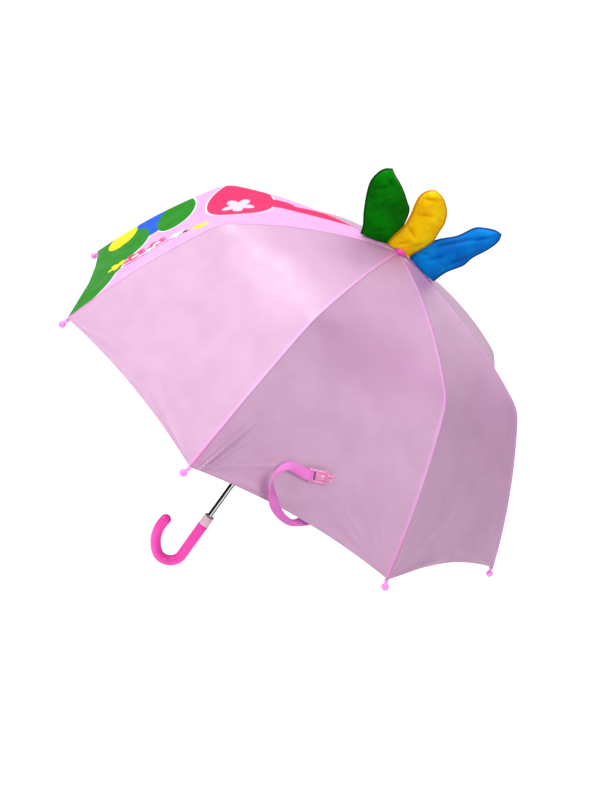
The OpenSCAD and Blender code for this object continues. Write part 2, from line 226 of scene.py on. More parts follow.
class Paint:
    """A Principled material and short calls for the nodes round it."""

    def __init__(self, name, color, roughness, **sockets):
        self.material = bpy.data.materials.new(name)
        self.material.use_nodes = True
        self.tree = self.material.node_tree
        self.shader = self.tree.nodes["Principled BSDF"]
        self.shader.inputs["Base Color"].default_value = linear(*color)
        self.shader.inputs["Roughness"].default_value = roughness
        for key, value in sockets.items():
            self.shader.inputs[key.replace("_", " ")].default_value = value
        self.material.diffuse_color = linear(*color)

    def node(self, kind, **inputs):
        n = self.tree.nodes.new("ShaderNode" + kind)
        for key, value in inputs.items():
            self.put(n.inputs[key.replace("_", " ")], value)
        return n

    def put(self, socket, value):
        if isinstance(value, bpy.types.NodeSocket):
            self.tree.links.new(value, socket)
        else:
            socket.default_value = value

    def math(self, op, a, b=0.0, c=0.0):
        n = self.tree.nodes.new("ShaderNodeMath")
        n.operation = op
        for socket, value in zip(n.inputs, (a, b, c)):
            self.put(socket, value)
        return n.outputs[0]

    def ramp(self, value, lo, hi, out_lo=0.0, out_hi=1.0):
        """Smooth step of value between lo and hi."""
        n = self.tree.nodes.new("ShaderNodeMapRange")
        n.interpolation_type = "SMOOTHSTEP"
        for socket, v in zip(n.inputs, (value, lo, hi, out_lo, out_hi)):
            self.put(socket, v)
        return n.outputs[0]

    def mix(self, factor, a, b):
        n = self.tree.nodes.new("ShaderNodeMix")
        n.data_type = "RGBA"
        self.put(n.inputs["Factor"], factor)
        self.put(n.inputs[6], a)
        self.put(n.inputs[7], b)
        return n.outputs[2]

    def coords(self, uv=None):
        """x, y and z of the object's own coordinates, or of a UV map, in metres."""
        if uv:
            n = self.tree.nodes.new("ShaderNodeUVMap")
            n.uv_map = uv
            vector = n.outputs["UV"]
        else:
            vector = self.tree.nodes.new("ShaderNodeTexCoord").outputs["Object"]
        parts = self.node("SeparateXYZ", Vector=vector)
        return vector, parts.outputs[0], parts.outputs[1], parts.outputs[2]

    def noise(self, vector, scale, detail=3.0):
        n = self.node("TexNoise", Vector=vector, Scale=scale, Detail=detail, Roughness=0.5)
        return n.outputs["Fac"]

    def bump(self, height, distance, strength=1.0):
        """Adds a bump on top of those that are there."""
        n = self.node("Bump", Strength=strength, Distance=distance, Height=height)
        normal = self.shader.inputs["Normal"]
        if normal.is_linked:
            self.put(n.inputs["Normal"], normal.links[0].from_socket)
        self.put(normal, n.outputs["Normal"])

    def weave(self, x, y, pitch, depth):
        """Plain weave of threads pitch apart, from two crossing waves."""
        turn = 2 * math.pi / pitch
        warp = self.math("SINE", self.math("MULTIPLY", x, turn))
        weft = self.math("SINE", self.math("MULTIPLY", y, turn))
        self.bump(self.math("MULTIPLY", warp, weft), depth, 0.6)

    def vary(self, vector, base, dark, scale):
        """Mixes base with a darker colour in soft clouds and returns the colour."""
        clouds = self.ramp(self.noise(vector, scale), 0.35, 0.65)
        return self.mix(clouds, base, dark)


def plastic(name, color, roughness=0.25, mottle=0.06, coat=0.3, **sockets):
    """Moulded plastic: faint flow marks, fine orange peel and slightly uneven gloss."""
    p = Paint(name, color, roughness, Coat_Weight=coat, Coat_Roughness=0.12, **sockets)
    vector = p.coords()[0]
    base = linear(*color)
    dark = tuple(c * (1 - mottle * 2) for c in base[:3]) + (1,)
    p.put(p.shader.inputs["Base Color"], p.vary(vector, base, dark, 90))
    p.put(p.shader.inputs["Roughness"], p.ramp(p.noise(vector, 400), 0.3, 0.7, roughness, roughness + 0.12))
    p.bump(p.noise(vector, 1500, 2), 0.03 * MM)
    return p.material


def steel(name, color, roughness, scratch=0.12):
    """Plated steel: drawn lines along the part, a few dull patches and scratches."""
    p = Paint(name, color, roughness, Metallic=1.0)
    vector = p.coords()[0]
    stretch = p.node("Mapping", Vector=vector, Scale=(1.0, 1.0, 0.02))
    lines = p.noise(stretch.outputs[0], 5000, 2)
    dull = p.noise(vector, 60, 4)
    p.put(p.shader.inputs["Roughness"], p.ramp(dull, 0.35, 0.8, roughness, roughness + scratch))
    base = linear(*color)
    dark = tuple(c * 0.72 for c in base[:3]) + (1,)
    p.put(p.shader.inputs["Base Color"], p.mix(p.ramp(dull, 0.55, 0.8), base, dark))
    p.bump(lines, 0.01 * MM)
    return p.material


CLOTH = (170, 118, 159)
# Lighter cloth for the printed panel: the satin sheen that its low-gloss material leaves out is painted into
# this colour.
PRINT_CLOTH_WITH_SHEEN = (208, 152, 198)
# Width of the painted highlight along the turned edge at a seam, and where its stitches and those of the hem
# run
SEAM_HIGHLIGHT_W, SEAM_STITCH, HEM_STITCH = 5.6 * MM, 2.6 * MM, 4.8 * MM
STITCH_PITCH, STITCH_HALF_W = 2.6 * MM, 0.25 * MM


def canopy_paint(name, printed=False, **sockets):
    """Satin polyester: weave, soft clouding, and at each seam a painted highlight on the turned edge to one
    side beside painted shade in the valley, darker near the tip.
    """
    base = PRINT_CLOTH_WITH_SHEEN if printed else CLOTH
    p = Paint(name, base, 0.42, **sockets)
    vector, x, y, _ = p.coords("cloth")
    _, seam_gap, hem_gap, _ = p.coords("edge")
    color = p.vary(vector, linear(*base), linear(*(c - 6 for c in base)), 14)
    if printed:
        color = front_print(p, x, y, color)
    # Painted highlight: a paler band on one side of each seam, where light would catch the rounded turned
    # edge.
    turned = p.math("MULTIPLY", p.ramp(seam_gap, SEAM_HIGHLIGHT_W, SEAM_HIGHLIGHT_W - 2 * MM), p.ramp(x, -1 * MM, 1 * MM))
    color = p.mix(p.math("MULTIPLY", turned, 0.15 if printed else 0.42), color, linear(214, 124, 204))
    # Painted shade: the seam is darker over its last stretch towards the tip, where the cloth bunches.
    to_tip = p.ramp(y, SEAM_LEN - 100 * MM, SEAM_LEN - 10 * MM)
    near_tip = p.math("MULTIPLY", to_tip, p.ramp(seam_gap, 6 * MM, 1.5 * MM))
    color = p.mix(p.math("MULTIPLY", near_tip, 0.15 if printed else 0.6), color, linear(196, 82, 166))
    # Painted shade in the valley right at each seam.
    valley = p.ramp(seam_gap, 1.2 * MM, 0.4 * MM)
    color = p.mix(p.math("MULTIPLY", valley, 0.7), color, linear(120, 62, 110))
    rows = (line(p, gap, at, STITCH_HALF_W) for gap, at in ((seam_gap, SEAM_STITCH), (hem_gap, HEM_STITCH)))
    stitch_row = p.math("MAXIMUM", *rows)
    along = p.math("ADD", x, y)
    dashes = p.ramp(p.math("SINE", p.math("MULTIPLY", along, 2 * math.pi / STITCH_PITCH)), -0.3, 0.1)
    stitches = p.math("MULTIPLY", stitch_row, dashes)
    color = p.mix(p.math("MULTIPLY", stitches, 0.25), color, linear(228, 170, 218))
    p.put(p.shader.inputs["Base Color"], color)
    p.put(p.shader.inputs["Roughness"], p.ramp(p.noise(vector, 40), 0.3, 0.7, 0.38, 0.48))
    p.weave(x, y, 0.42 * MM, 0.03 * MM)
    p.bump(stitches, 0.12 * MM)
    p.bump(p.noise(vector, 45, 2), 0.2 * MM)
    return p.material


def line(p, value, at, half_width):
    """1 on a line where value is at, and 0 away from it."""
    return p.ramp(p.math("ABSOLUTE", p.math("SUBTRACT", value, at)), half_width, half_width * 0.4)


PETALS = 5


def ellipse(p, x, y, cx, cy, rx, ry):
    """1 inside an ellipse with a slightly soft edge. Sizes are in millimetres."""
    u = p.math("DIVIDE", p.math("SUBTRACT", x, cx * MM), rx * MM)
    v = p.math("DIVIDE", p.math("SUBTRACT", y, cy * MM), ry * MM)
    d = p.math("SQRT", p.math("ADD", p.math("MULTIPLY", u, u), p.math("MULTIPLY", v, v)))
    return p.ramp(d, 1.02, 0.98)


def blossom(p, x, y, cx, cy, r):
    """1 inside a flower with round petals: a circle whose radius swells PETALS times round."""
    u = p.math("SUBTRACT", x, cx * MM)
    v = p.math("SUBTRACT", y, cy * MM)
    angle = p.math("ARCTAN2", v, u)
    d = p.math("SQRT", p.math("ADD", p.math("MULTIPLY", u, u), p.math("MULTIPLY", v, v)))
    swell = p.math("ABSOLUTE", p.math("COSINE", p.math("MULTIPLY", angle, PETALS / 2)))
    edge = p.math("MULTIPLY_ADD", swell, 0.55 * r * MM, 0.45 * r * MM)
    return p.ramp(p.math("SUBTRACT", d, edge), 0.02 * r * MM, -0.02 * r * MM)


# Width of the white line round the shapes of the print that are wider than OUTLINED_FROM, in millimetres
OUTLINE, OUTLINED_FROM = 2.2, 15
PRINT = {"green": linear(15, 116, 0), "yellow": linear(218, 198, 0), "blue": linear(0, 76, 192),
         "hot": linear(204, 44, 90), "pale": linear(226, 178, 208), "white": linear(220, 212, 216),
         "stem": linear(12, 34, 4)}
# Generic garden scene on the front panel: (shape, colour, sizes). x is across the panel from its
# middle and y runs down from the crown, both in millimetres.
GARDEN = (
    ("ellipse", "blue", (-84, 362, 46, 40)),
    ("ellipse", "green", (-70, 322, 54, 30)),
    ("ellipse", "green", (0, 476, 165, 84)),
    ("ellipse", "green", (-44, 424, 72, 62)),
    ("ellipse", "yellow", (-104, 412, 36, 24)),
    ("ellipse", "hot", (-40, 226, 58, 48)),
    ("ellipse", "hot", (-39, 178, 14, 30)),
    ("ellipse", "hot", (-32, 118, 10, 62)),
    ("blossom", "pale", (-22, 228, 24)),
    ("ellipse", "stem", (30, 396, 2.2, 52)),
    ("ellipse", "stem", (40, 314, 1.6, 40)),
    ("ellipse", "stem", (50, 380, 1.6, 46)),
    ("blossom", "yellow", (22, 404, 15)),
    ("blossom", "hot", (24, 376, 19)),
    ("ellipse", "white", (24, 376, 6, 6)),
    ("blossom", "hot", (20, 344, 17)),
    ("ellipse", "white", (20, 344, 6, 6)),
    ("blossom", "white", (34, 352, 10)),
    ("blossom", "white", (31, 312, 12)),
    ("ellipse", "stem", (34, 300, 4, 4)),
    ("blossom", "yellow", (39, 278, 15)),
)


def front_print(p, x, y, color):
    """Lays the garden scene over the cloth colour: first all white outlines, then the shapes."""
    for shape, _, sizes in GARDEN:
        if shape == "ellipse" and sizes[2] > OUTLINED_FROM:
            cx, cy, rx, ry = sizes
            color = p.mix(ellipse(p, x, y, cx, cy, rx + OUTLINE, ry + OUTLINE), color, PRINT["white"])
    for shape, paint, sizes in GARDEN:
        mask = ellipse(p, x, y, *sizes) if shape == "ellipse" else blossom(p, x, y, *sizes)
        color = p.mix(mask, color, PRINT[paint])
    return color


def plush_paint(name, color, dark, shade_color):
    """Bright satin skin of a stuffed spike, with the stitched rim where its two halves meet, and painted
    shade in its creases and along that rim.
    """
    p = Paint(name, color, 0.4, IOR=1.12)
    vector, x, y, z = p.coords()
    _, gap, run, _ = p.coords("edge")
    tint = p.vary(vector, linear(*color), linear(*dark), 28)
    depth = p.coords("crease")[1]
    # Painted shade: darker in the pressed creases and along the sewn rim.
    tint = p.mix(p.ramp(depth, 0.4 * MM, 3 * MM, 0, 0.5), tint, linear(*shade_color))
    tint = p.mix(p.ramp(gap, 3.2 * MM, 1.5 * MM, 0, 0.9), tint, linear(*shade_color))
    dashes = p.ramp(p.math("SINE", p.math("MULTIPLY", run, 2 * math.pi / (2.4 * MM))), -0.2, 0.2)
    stitches = p.math("MULTIPLY", line(p, gap, 1.6 * MM, 0.25 * MM), dashes)
    p.put(p.shader.inputs["Base Color"], p.mix(p.math("MULTIPLY", stitches, 0.6), tint, linear(*dark)))
    p.put(p.shader.inputs["Roughness"], p.ramp(p.noise(vector, 120), 0.3, 0.7, 0.34, 0.5))
    p.weave(y, z, 0.45 * MM, 0.03 * MM)
    p.bump(p.noise(vector, 70, 3), 0.8 * MM)
    p.bump(stitches, 0.2 * MM)
    return p.material


def ribbon_paint(name, color):
    """Grosgrain strap: ribs across the width, with painted shade in the grooves between them, and a stitched
    edge.
    """
    p = Paint(name, color, 0.5, Sheen_Weight=0.2)
    vector, across, along, _ = p.coords("cloth")
    ribs = p.math("SINE", p.math("MULTIPLY", along, 2 * math.pi / (1.1 * MM)))
    base = linear(*color)
    # Painted shade: the grooves between the ribs are darker.
    dark = tuple(c * 0.86 for c in base[:3]) + (1,)
    p.put(p.shader.inputs["Base Color"], p.mix(p.ramp(ribs, -1, 1, 0.35, 0), base, dark))
    p.bump(ribs, 0.12 * MM)
    p.bump(line(p, p.math("ABSOLUTE", across), 5 * MM, 0.4 * MM), 0.2 * MM)
    return p.material


CANOPY = canopy_paint("canopy_satin", Specular_IOR_Level=1.0, Coat_Weight=1.0, Coat_Roughness=0.6)
FRONT = canopy_paint("printed_satin", printed=True, IOR=1.1)
HANDLE_PINK = plastic("handle_pink_plastic", (238, 58, 172), 0.28, 0.05, 0.2, Specular_IOR_Level=0.35)
COLLAR_PINK = plastic("collar_milky_plastic", (236, 200, 214), 0.3, 0.06, 0.3, Transmission_Weight=0.2)
TIP_PINK = plastic("tip_pink_plastic", (240, 132, 218), 0.25, 0.05, 0.4)
CLIP_CLEAR = plastic("clip_clear_pink", (245, 150, 205), 0.12, 0.05, 0.6, Transmission_Weight=0.35)
NYLON = plastic("white_nylon", (236, 234, 236), 0.42, 0.04, 0.1)
CHROME = steel("chromed_tube", (225, 226, 222), 0.07, 0.06)
SPRING_STEEL = steel("zinc_plated_steel", (176, 178, 184), 0.3)
STRAP_PINK = ribbon_paint("strap_ribbon", (214, 104, 190))
THREAD = Paint("sewing_thread", (240, 150, 226), 0.6).material


# ---------------------------------------------------------------- canopy
ROW_STEP = 4.5 * MM
COLUMNS = 56
HEM_ROWS = [d * MM for d in (0, 0.4, 1.6, 3.2, 4.8, 5.7, 6.1, 7, 8.5, 11)]
CLOTH_T = 0.4 * MM
# Distance to the hem that stands for "none near", on the upper pieces
FAR = 1.0
UPPER_ROWS = 54
# How far the cloth sags between two ribs, and how far it eases the ribs' bend, midway between them
SAG, EASE = 5 * MM, 60 * MM
# Height of the broad waves, the puckers and the ridge beside a seam, and the gathers at the crown
WAVE_H, PUCKER_H, RIDGE_H, GATHER_H = 1.0 * MM, 0.1 * MM, 0.18 * MM, 0.5 * MM
PUCKER_PITCH = 8.5 * MM
# Width and extra height of the folded hem
HEM_W, HEM_T = 5.9 * MM, 0.12 * MM
# Extra rows beside the fold, so that the two pieces of a panel shade as one cloth
FOLD_ROWS = [d * MM for d in (0.3, 1, 2.2)]


def tip_folds(across, up, seeds):
    """Height of the creases that fan out from a tip: across along the hem, up along the seam."""
    d = math.hypot(across, up)
    angle = math.degrees(math.atan2(up, across))
    fade = (1 - math.exp(-d / (18 * MM))) * math.exp(-(d / (95 * MM)) ** 2)
    return fade * sum(h * math.exp(-((angle - at) / width) ** 2) for at, width, h in seeds)


# Long folds that pull from the tip of rib 8 into panel 8, in millimetres: from and to, each as the
# distance from the seam and the distance up from the tip, half width and height
PULLED_FOLDS = (
    ((9, -6), (26, 84), 2.0, 3.0),
    ((11, -2), (31, 58), 1.9, 2.6),
    ((10, -4), (28, 68), 1.6, -1.4),
    ((7, 4), (19, 104), 2.6, 1.5),
    ((14, -2), (46, 44), 2.6, 1.2),
)


def pulled_fold(across, up):
    """Height of the long folds at a point, from its distances in metres."""
    point = np.array((across, up)) / MM
    total = 0
    for start, end, width, height in PULLED_FOLDS:
        start, reach = np.array(start, float), np.subtract(end, start)
        share = (point - start) @ reach / (reach @ reach)
        if 0 < share < 1:
            gap = np.linalg.norm(point - start - share * reach)
            taper = min(1, share * 5) * (1 - share) ** 0.7
            total += height * MM * taper * math.exp(-(gap / (width * (0.6 + share))) ** 2)
    return total


def gore_lift(k, s, t, half, seeds):
    """How far the cloth stands out of the flat gore at length s and share t of its half width."""
    inner = 1 - t * t
    edge = half * (1 - abs(t))
    run = max(math.sin(math.pi * min(1, s / SEAM_LEN)), 0) ** 0.7
    lift = -SAG * inner * run * half / (130 * MM)
    wave = noise.noise(Vector((t * half * 22 + 7 * k, s * 16, 3.7 * k)))
    lift += WAVE_H * inner ** 1.5 * wave
    up = SEAM_LEN - s
    lift += inner ** 0.5 * tip_folds(edge, up, seeds[0] if t < 0 else seeds[1])
    if k == 8 and t < 0 and up < 120 * MM:
        lift += pulled_fold(edge, up)
    pucker = math.sin(2 * math.pi * s / PUCKER_PITCH + 2 * t * k)
    lift += PUCKER_H * pucker * math.exp(-((edge - 5 * MM) / (3 * MM)) ** 2)
    lift += RIDGE_H * (1 - min(1, edge / (3 * MM)))
    gather = math.cos(10 * math.pi * t) * math.exp(-s / (22 * MM))
    return lift + GATHER_H * inner * gather * min(1, s / (6 * MM))


def gore_point(k, s, t, lift):
    """Point of gore k: straight from rib to rib, eased over the bend between them, moved out by lift."""
    r, z, a = eased_seam(s, EASE * (1 - t * t))
    turn = t * HALF_GORE
    x = r * math.cos(HALF_GORE) + lift * math.sin(a) * math.cos(turn)
    y = t * r * math.sin(HALF_GORE) + lift * math.sin(a) * math.sin(turn)
    return Matrix.Rotation(panel_angle(k), 3, "Z") @ Vector((x, y, z + lift * math.cos(a)))


# The hems of the two panels beside panel 8 are cut a little unevenly
HEM_RISE = {7: 7.5 * MM, 1: 12.5 * MM}


def hem_length(k, t):
    """Length from the crown to the hem, which rises between two tips."""
    return SEAM_LEN - HEM_RISE.get(k, SCALLOP) * (1 - t * t) / math.sin(seam(SEAM_LEN)[2])


def gore_piece(k, part, material, seeds):
    """One sewn panel from the crown to its fold, or from the fold to the hem."""
    fine = 3 if k == 8 and part == "lower" else 1
    columns = [math.sin(math.pi / 2 * (j / COLUMNS / fine * 2 - 1)) for j in range(COLUMNS * fine + 1)]
    row_step = ROW_STEP / fine
    if part == "upper":
        shares = [i / UPPER_ROWS for i in range(UPPER_ROWS)] + [1 - d / CREASE for d in FOLD_ROWS[::-1]] + [1]
    else:
        span = SEAM_LEN - CREASE
        shares = [1 - d / span for d in HEM_ROWS]
        shares += list(np.arange(shares[-1] - row_step / span, 0.015, -row_step / span))
        shares = [0] + [d / span for d in FOLD_ROWS] + shares[::-1]
    rows, cloth_uv, edge_uv = [], [], []
    for share in shares:
        row = []
        for t in columns:
            if part == "upper":
                s = share * CREASE
                hem_gap = FAR
            else:
                s = CREASE + share * (hem_length(k, t) - CREASE)
                hem_gap = hem_length(k, t) - s
            half = seam(s)[0] * math.sin(HALF_GORE)
            lift = gore_lift(k, s, t, half, seeds)
            lift += HEM_T if hem_gap < HEM_W else 0
            row.append(gore_point(k, s, t, lift))
            cloth_uv.append((t * half, s))
            edge_uv.append((half * (1 - abs(t)), hem_gap))
        rows.append(row)
    mesh = Mesh()
    mesh.shell(rows, CLOTH_T)
    obj = mesh.build(f"canopy_{part}_{k}", material, sharp=60)
    put_uv(obj, "cloth", cloth_uv * 2)
    put_uv(obj, "edge", edge_uv * 2)
    body = f"panel_{part}_{k}"
    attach(obj, body)
    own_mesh(obj)
    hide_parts(body)
    low, high = (0, CREASE) if part == "upper" else (CREASE, SEAM_LEN)
    widest = 2 * seam(high)[0] * math.sin(HALF_GORE)
    narrowest = 2 * seam(low)[0] * math.sin(HALF_GORE)


def put_uv(obj, name, per_vertex):
    """Adds a UV map from one pair of values for each vertex."""
    layer = obj.data.uv_layers.new(name=name)
    index = np.zeros(len(obj.data.loops), np.int32)
    obj.data.loops.foreach_get("vertex_index", index)
    layer.data.foreach_set("uv", np.array(per_vertex, np.float32)[index].ravel())


def fold_seeds():
    """Angle, width and height of each crease that fans out from one tip."""
    return [(rng.uniform(8, 58), rng.uniform(1.6, 4), rng.uniform(0.5, 1.5) * MM) for _ in range(5)]


def make_canopy():
    for k in GORES:
        seeds = (fold_seeds(), fold_seeds())
        material = FRONT if k == 6 else CANOPY
        for part in ("upper", "lower"):
            gore_piece(k, part, material, seeds)


# ---------------------------------------------------------------- ribs
# Depth of a rib's middle under the seam, and of the stretcher's rivet under that
RIB_DROP, RIVET_DROP = 2.2 * MM, 3.3 * MM
CROWN_R = 9 * MM
CROWN_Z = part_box("crown_wire")[0].z / 2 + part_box("crown_wire")[1].z / 2
NECK_END = 18 * MM
RIVET_AT = 205 * MM


def rib_frame(k, s, d):
    """Origin, across and up for a section of rib k, d under the seam at s."""
    angle = rib_angle(k)
    r, z = below_seam(s, d)
    a = seam(s)[2]
    across = Vector((-math.sin(angle), math.cos(angle), 0))
    return polar(r, angle, z), across, polar(math.sin(a), angle, math.cos(a))


def rib_piece(k):
    """Fluted spring-steel rib with a flattened neck and eye at the crown and a lug for the stretcher."""
    mesh = Mesh()
    w, h, wall = 1.1 * MM, 1.0 * MM, 0.35 * MM
    flute = [(-w, h * 0.7), (-w * 0.7, h), (w * 0.7, h), (w, h * 0.7), (w, -h), (w - wall, -h),
             (w - wall, h - wall * 1.4), (-w + wall, h - wall * 1.4), (-w + wall, -h), (-w, -h)]
    steps = list(np.linspace(NECK_END - 2 * MM, SEAM_LEN - 1 * MM, 110))
    mesh.sweep([rib_frame(k, s, RIB_DROP) for s in steps], flute)
    angle = rib_angle(k)
    across = Vector((-math.sin(angle), math.cos(angle), 0))
    pivot = polar(CROWN_R, angle, CROWN_Z)
    neck_to = rib_frame(k, NECK_END, RIB_DROP)
    up = Vector((0, 0, 1))
    flat = [(-0.6 * MM, 0.8 * MM), (0.6 * MM, 0.8 * MM), (0.6 * MM, -0.8 * MM), (-0.6 * MM, -0.8 * MM)]
    reach = (neck_to[0] - pivot).normalized()
    mesh.sweep([(pivot + reach * 1.1 * MM, across, up), (neck_to[0], across, neck_to[2])], flat)
    turn = Matrix.Translation(pivot) @ across.to_track_quat("Z", "Y").to_matrix().to_4x4()
    mesh.lathe([(0.55 * MM, -0.6 * MM), (1.4 * MM, -0.6 * MM), (1.4 * MM, 0.6 * MM), (0.55 * MM, 0.6 * MM)],
               turn, 24)
    rivet = rib_frame(k, RIVET_AT, RIB_DROP + RIVET_DROP)[0]
    for side in (-1, 1):
        lug = [(-0.25 * MM, 0), (0.25 * MM, 0), (0.25 * MM, -4 * MM), (-0.25 * MM, -4 * MM)]
        frames = [rib_frame(k, RIVET_AT + d * MM, RIB_DROP) for d in (-3, -1.5, 1.5, 3)]
        frames = [(o + across * side * 0.25 * MM, a, b * f) for (o, a, b), f in zip(frames, (0.5, 1, 1, 0.5))]
        mesh.sweep(frames, lug)
    pin = Matrix.Translation(rivet) @ across.to_track_quat("Z", "Y").to_matrix().to_4x4()
    head = [(0.8 * MM, -1.5 * MM), (1.3 * MM, -1.5 * MM), (1.2 * MM, -1.9 * MM), (0.5 * MM, -2.1 * MM)]
    profile = head[::-1] + [(0.8 * MM, 1.5 * MM)] + [(r, -z) for r, z in head[1:]]
    mesh.lathe(profile, pin, 20)
    obj = mesh.build(f"rib_steel_{k}", SPRING_STEEL, sharp=35)
    start = rib_frame(k, CREASE - 15 * MM, RIB_DROP)[0]
    end = rib_frame(k, CREASE + 15 * MM, RIB_DROP)[0]
    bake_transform(obj)
    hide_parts(f"rib_{k}")


# Sideways lean of the tips beside panel 8, in degrees
TIP_LEAN = {1: -14, 8: 12}


def tip_piece(k):
    """Moulded ball tip with a collar, a thin neck and the thread that ties the cloth to it."""
    origin, across, _ = rib_frame(k, SEAM_LEN, RIB_DROP)
    a = seam(SEAM_LEN)[2]
    lean = math.radians(TIP_LEAN.get(k, 0))
    along = polar(math.cos(a), rib_angle(k), -math.sin(a)) * math.cos(lean) - across * math.sin(lean)
    place = Matrix.Translation(origin) @ along.to_track_quat("Z", "Y").to_matrix().to_4x4()
    ball_r, ball_at, neck_r = 4.5 * MM, 9.6 * MM, 1.9 * MM
    join = math.asin(neck_r * 1.25 / ball_r)
    profile = [(1.2 * MM, 0.3 * MM), (2.3 * MM, 0.3 * MM), (2.5 * MM, 0.7 * MM), (2.5 * MM, 1.4 * MM),
               (2.0 * MM, 2.1 * MM), (1.8 * MM, 2.8 * MM), (1.8 * MM, 4.4 * MM), (2.05 * MM, 5.2 * MM)]
    for i in range(25):
        t = join + (math.pi - join) * i / 24
        profile.append((max(ball_r * math.sin(t), 0.02 * MM), ball_at - ball_r * math.cos(t)))
    mesh = Mesh()
    mesh.lathe(profile, place, 40)
    obj = mesh.build(f"ball_tip_{k}", TIP_PINK, sharp=50)
    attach(obj, f"tip_{k}")
    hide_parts(f"tip_{k}")
    wraps = Mesh()
    wrap_r, thread_r = 2.2, 0.28
    for turn in range(3):
        ring = []
        for i in range(24):
            t = 2 * math.pi * i / 24
            centre = Vector((wrap_r * MM * math.cos(t), wrap_r * MM * math.sin(t), (2.2 + 0.5 * turn) * MM))
            out = Vector((math.cos(t), math.sin(t), 0))
            ring.append([place @ (centre + out * thread_r * MM * math.cos(u)
                                  + Vector((0, 0, thread_r * MM * math.sin(u))))
                         for u in np.linspace(0, 2 * math.pi, 8, endpoint=False)])
        ring.append(ring[0])
        wraps.grid(ring, wrap=True)
    thread = wraps.build(f"tip_thread_{k}", THREAD)
    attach(thread, f"tip_{k}")


def make_ribs():
    for k in GORES:
        rib_piece(k)
        tip_piece(k)


# ---------------------------------------------------------------- handle and shaft fittings
GRIP_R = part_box("handle")[1].x
GRIP_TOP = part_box("handle")[1].z
HOOK_R, HOOK_TURN = 19 * MM, math.radians(133)
TAIL_R, TAIL_TURN = 57 * MM, math.radians(58)


def make_handle():
    """J-shaped handle: a round tube on the hook's path, with its mould line and a rounded end."""
    path = [(Vector((0, 0, z)), Vector((0, 0, -1))) for z in np.linspace(GRIP_TOP, -GRIP_TOP, 14)]
    centre = Vector((0, -HOOK_R, -GRIP_TOP))
    for start, turn, radius in ((0, HOOK_TURN, HOOK_R), (HOOK_TURN, TAIL_TURN, TAIL_R)):
        if start:
            centre += Vector((0, math.cos(start), -math.sin(start))) * (HOOK_R - TAIL_R)
        for t in np.linspace(start, start + turn, 40)[1:]:
            out = Vector((0, math.cos(t), -math.sin(t)))
            path.append((centre + out * radius, Vector((0, -math.sin(t), -math.cos(t)))))
    end, heading = path[-1]
    steps = 72
    mould = 0.1 * MM
    rows = []

    def ring(centre, heading, radius):
        side = Vector((1, 0, 0))
        up = side.cross(heading)
        out = []
        for j in range(steps):
            t = 2 * math.pi * j / steps
            r = radius + (mould if j in (steps // 4, 3 * steps // 4) else 0)
            out.append(centre + side * r * math.cos(t) + up * r * math.sin(t))
        return out

    rows.append(ring(path[0][0], path[0][1], GRIP_R - 0.6 * MM))
    rows.append(ring(path[0][0] + Vector((0, 0, -0.6 * MM)), path[0][1], GRIP_R))
    for point, direction in path[1:]:
        rows.append(ring(point, direction, GRIP_R))
    for t in np.linspace(0, math.pi / 2, 14)[1:]:
        rows.append(ring(end + heading * GRIP_R * math.sin(t), heading, max(GRIP_R * math.cos(t), 0.05 * MM)))
    mesh = Mesh()
    mesh.grid(rows, wrap=True, caps=True)
    handle = mesh.build("hook_handle", HANDLE_PINK, sharp=50)
    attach(handle, "shaft")
    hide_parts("handle")


def make_collar():
    """Milky sleeve on the grip with an open cup at its top."""
    low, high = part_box("handle_collar")[0].z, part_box("handle_collar")[1].z
    r = GRIP_R
    profile = [(4.1 * MM, low), (r - 0.1 * MM, low), (r, low + 0.4 * MM), (r, low + 2 * MM),
               (r - 0.15 * MM, high - 1.2 * MM), (r - 0.5 * MM, high - 0.3 * MM), (r - 0.9 * MM, high),
               (r - 1.5 * MM, high), (r - 1.8 * MM, high - 0.4 * MM), (r - 1.9 * MM, high - 3.5 * MM),
               (4.1 * MM, high - 4 * MM), (4.1 * MM, low)]
    mesh = Mesh()
    ring = [2 * math.pi * j / 64 for j in range(64)]
    mesh.grid([[Vector((p * math.cos(t), p * math.sin(t), h)) for t in ring] for p, h in profile], wrap=True)
    collar = mesh.build("grip_collar", COLLAR_PINK, sharp=40)
    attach(collar, "shaft")
    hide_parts("handle_collar")


def paint_cad():
    """Gives each CAD node that stays in view its material."""
    looks = {"shaft_tube": CHROME, "crown": NYLON, "runner": NYLON, "ferrule_cap": HANDLE_PINK,
             "rosette": CANOPY, "crown_wire": SPRING_STEEL, "runner_wire": SPRING_STEEL,
             "crown_pin": SPRING_STEEL, "top_catch": SPRING_STEEL, "bottom_catch": SPRING_STEEL}
    looks.update({f"stretcher_{k}": SPRING_STEEL for k in GORES})
    for name, material in looks.items():
        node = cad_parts[name]
        node.data.materials.clear()
        node.data.materials.append(material)


